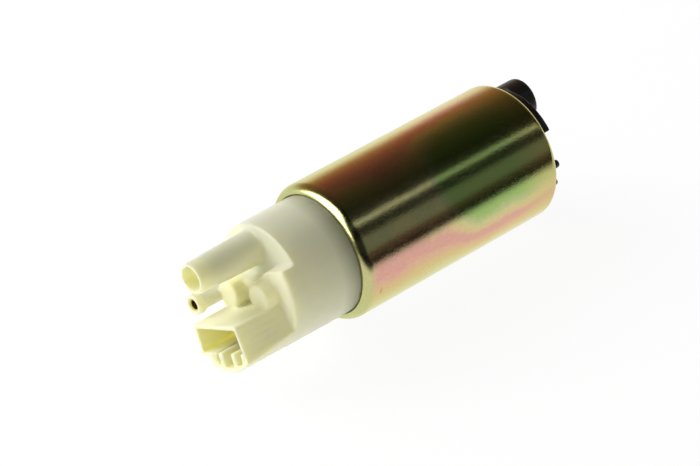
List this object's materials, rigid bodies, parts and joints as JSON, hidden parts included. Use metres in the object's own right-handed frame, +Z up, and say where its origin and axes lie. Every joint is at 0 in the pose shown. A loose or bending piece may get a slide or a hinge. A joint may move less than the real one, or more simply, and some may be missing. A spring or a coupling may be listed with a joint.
{
  "type": "in-tank electric fuel pump",
  "caption": "In-tank electric fuel pump with a plated steel can, a cream outlet cap with hose spigot and electrical socket, and a black inlet cover, lying on its side.",
  "frame": {"origin": "on the shaft's axis, at the middle of the pump's length", "axes": "+X along the shaft towards the fuel inlet, +Z up from the surface it lies on; the outlet spigot leans 28 degrees from +Z towards +Y"},
  "size_m": [0.1158, 0.0378, 0.0378],
  "materials": {
    "zinc_chromate": "glossy iridescent yellow plating on drawn steel",
    "cream_acetal": "satin, slightly translucent moulding",
    "black_plastic": "satin moulding",
    "grey_plastic": "hard moulding",
    "steel": "ground or drawn",
    "laminations": "stacked sheet steel",
    "copper": "copper, lacquered where it is wire",
    "brass": "stamped or turned",
    "bronze": "sintered",
    "ferrite": "dull ceramic",
    "carbon": "pressed carbon",
    "rubber": "matt",
    "nylon": "natural moulding"
  },
  "bodies": {
    "housing": {"can": "zinc_chromate", "outlet_cap": "cream_acetal", "inlet_cover": "black_plastic", "pump_body": "grey_plastic", "pump_ring": "grey_plastic", "thrust_ball": "steel", "upper_bush": "bronze", "lower_bush": "bronze", "magnet_1": "ferrite", "magnet_2": "ferrite", "magnet_clip_1": "steel", "magnet_clip_2": "steel", "brush_spring_1": "steel", "brush_spring_2": "steel", "brush_lead_1": "copper", "brush_lead_2": "copper", "choke_core_1": "ferrite", "choke_core_2": "ferrite", "choke_coil_1": "copper", "choke_coil_2": "copper", "terminal_1": "brass", "terminal_2": "brass", "check_valve_spring": "steel", "check_valve_guide": "nylon", "relief_spring": "steel", "relief_sleeve": "brass", "cap_seal": "rubber", "cover_seal": "rubber"},
    "rotor": {"shaft": "steel", "armature_core": "laminations", "windings": "copper", "commutator": "copper", "impeller": "grey_plastic", "thrust_washer": "nylon"},
    "brush_a": {"brush_1": "carbon"},
    "brush_b": {"brush_2": "carbon"},
    "outlet_valve": {"check_valve_poppet": "rubber"},
    "relief_valve": {"relief_ball": "steel"}
  },
  "joints": [
    {"name": "rotor_spin", "type": "hinge", "parent": "housing", "child": "rotor", "pos_m": [0, 0, 0], "axis": [1, 0, 0], "continuous": true},
    {"name": "brush_slide_1", "type": "slide", "parent": "housing", "child": "brush_a", "axis": [-1, 0, 0], "range_m": [0, 0.0025], "stiffness_N_per_m": 120, "springref_m": -0.01, "deforming": ["brush_spring_1", "brush_lead_1"]},
    {"name": "brush_slide_2", "type": "slide", "parent": "housing", "child": "brush_b", "axis": [-1, 0, 0], "range_m": [0, 0.0025], "stiffness_N_per_m": 120, "springref_m": -0.01, "deforming": ["brush_spring_2", "brush_lead_2"]},
    {"name": "check_valve_lift", "type": "slide", "parent": "housing", "child": "outlet_valve", "axis": [-1, 0, 0], "range_m": [0, 0.0025], "stiffness_N_per_m": 60, "springref_m": -0.004, "deforming": ["check_valve_spring"]},
    {"name": "relief_valve_lift", "type": "slide", "parent": "housing", "child": "relief_valve", "axis": [-1, 0, 0], "range_m": [0, 0.0012], "stiffness_N_per_m": 1500, "springref_m": -0.003, "deforming": ["relief_spring"]}
  ]
}
